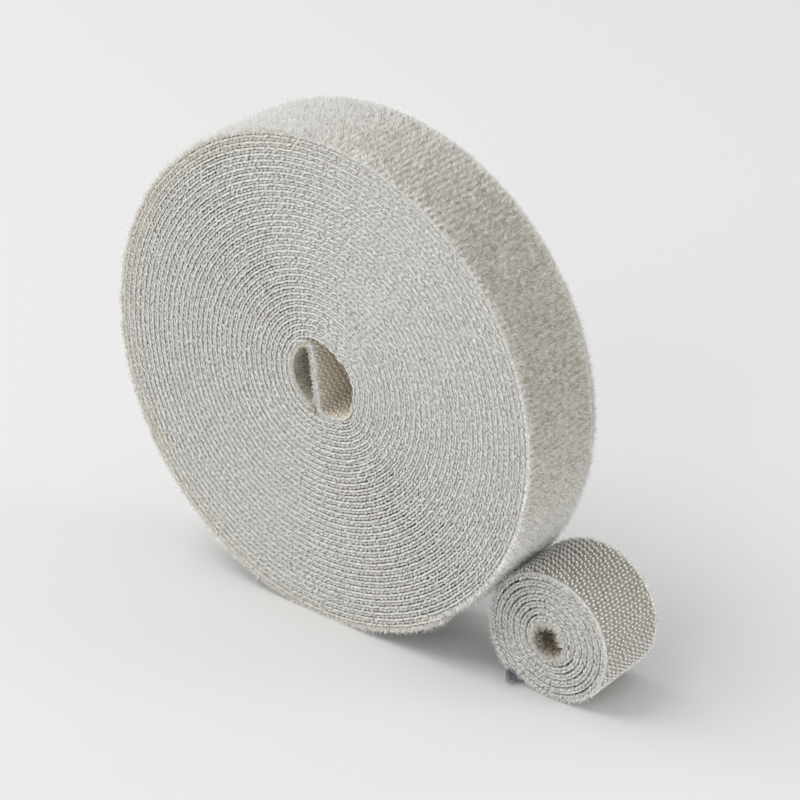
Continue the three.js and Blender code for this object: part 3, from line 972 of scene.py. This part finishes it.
# What the short coil's free end covers, and its cut with a dark tuft at the front: painted shade, for the
# shadow in the notch under the cut end
under = [length_at(COIL, coil_winding, deg, 1) for deg in (COIL_END_DEG, COIL.tip)]
covered = hooks(
    "coil_hooks_under_end", COIL, coil_winding, *under, COIL_HOOK_ROOT, side=1, seed=175, tall=0.5,
)
follow(covered, ["coil"])
lining = pile(
    "coil_end_pile", COIL, coil_end, 0, coil_end.length[-1], PILE_DENSITY, COIL_PILE_ROOT,
    stand=0.22 * MM, side=-1, seed=176,
)
follow(lining, ["coil", "coil_end"], COIL_SPAN)
fray = frayed_cut("coil_end_fray", COIL, coil_end, count=100, first=-COIL.half, last=COIL.half, seed=163)
follow(fray, ["coil_end"])
tuft = frayed_cut(
    "coil_end_tuft", COIL, coil_end, count=260, first=-COIL.half - SHADE_TUFT_PAST,
    last=-COIL.half + SHADE_TUFT_WITHIN, seed=164, shares=SHADE_TUFT_SHARES, materials=LINT_AND_SHADE_THREADS, long=1.6,
)
follow(tuft, ["coil_end"])


# Stage

FLOOR_SIZE = 8
FLOOR_COLOR = (0.66, 0.66, 0.655, 1)
SKY_COLOR = (0.95, 0.97, 1.0, 1)
SKY_STRENGTH = 0.68

floor_mat = bpy.data.materials.new("floor")
floor_mat.use_nodes = True
floor_shader = floor_mat.node_tree.nodes["Principled BSDF"]
floor_shader.inputs["Base Color"].default_value = FLOOR_COLOR
floor_shader.inputs["Roughness"].default_value = 0.9
floor_shader.inputs["Specular IOR Level"].default_value = 0.1
bpy.ops.mesh.primitive_plane_add(size=FLOOR_SIZE, location=(0, 0, 0))
floor = bpy.context.object
floor.name = "floor"
floor.data.materials.append(floor_mat)

world = bpy.data.worlds.new("surround")
bpy.context.scene.world = world
world.use_nodes = True
world.node_tree.nodes["Background"].inputs["Color"].default_value = SKY_COLOR
world.node_tree.nodes["Background"].inputs["Strength"].default_value = SKY_STRENGTH


def turn_toward(obj, place, target):
    """Puts a lamp or the camera at a place, turned to a target."""
    obj.location = place
    obj.rotation_mode = "QUATERNION"
    obj.rotation_quaternion = (Vector(target) - Vector(place)).to_track_quat("-Z", "Y")
    bpy.context.scene.collection.objects.link(obj)


def lamp(name, place, target, size, power, color):
    light = bpy.data.lights.new(name, "AREA")
    light.size, light.energy, light.color = size, power, color
    turn_toward(bpy.data.objects.new(name, light), place, target)


WARM_WHITE = (1.0, 0.985, 0.96)
WARMER_WHITE = (1.0, 0.98, 0.95)
lamp("key", place=(-0.76, -0.40, 1.28), target=(0, 0, 0.04), size=1.1, power=16.0, color=WARM_WHITE)
lamp("front", place=(0.08, -1.30, 0.70), target=(0, 0, 0.05), size=0.8, power=3.6, color=WARM_WHITE)
lamp("rim", place=(0.80, 0.40, 0.14), target=(0.03, 0, 0.04), size=0.26, power=3.4, color=WARMER_WHITE)


# Camera, as fitted to the rims of both coils in the photo

PICTURE_PIXELS = 800
LENS = 135
SENSOR = 36
FOCAL_PIXELS = LENS / SENSOR * PICTURE_PIXELS
AZIMUTH = math.radians(39.89)
ELEVATION = math.radians(27.52)
DISTANCE = 0.5602
CENTRE = Vector((-0.00038, 0, 0.0492))
CENTRE_LEFT, CENTRE_UP = 51.1, 33.2  # pixels from the middle of the picture

back = Vector((
    math.sin(AZIMUTH) * math.cos(ELEVATION),
    -math.cos(AZIMUTH) * math.cos(ELEVATION),
    math.sin(ELEVATION),
))
right = Vector((math.cos(AZIMUTH), math.sin(AZIMUTH), 0))
up = back.cross(right)
pixel = DISTANCE / FOCAL_PIXELS
camera = bpy.data.objects.new("camera", bpy.data.cameras.new("camera"))
camera.data.lens, camera.data.sensor_width = LENS, SENSOR
camera.data.clip_start, camera.data.clip_end = 0.01, 50
aim = CENTRE + right * (CENTRE_LEFT * pixel) - up * (CENTRE_UP * pixel)
turn_toward(camera, CENTRE + back * DISTANCE, aim)
bpy.context.scene.camera = camera
bpy.context.scene.view_settings.view_transform = "Standard"
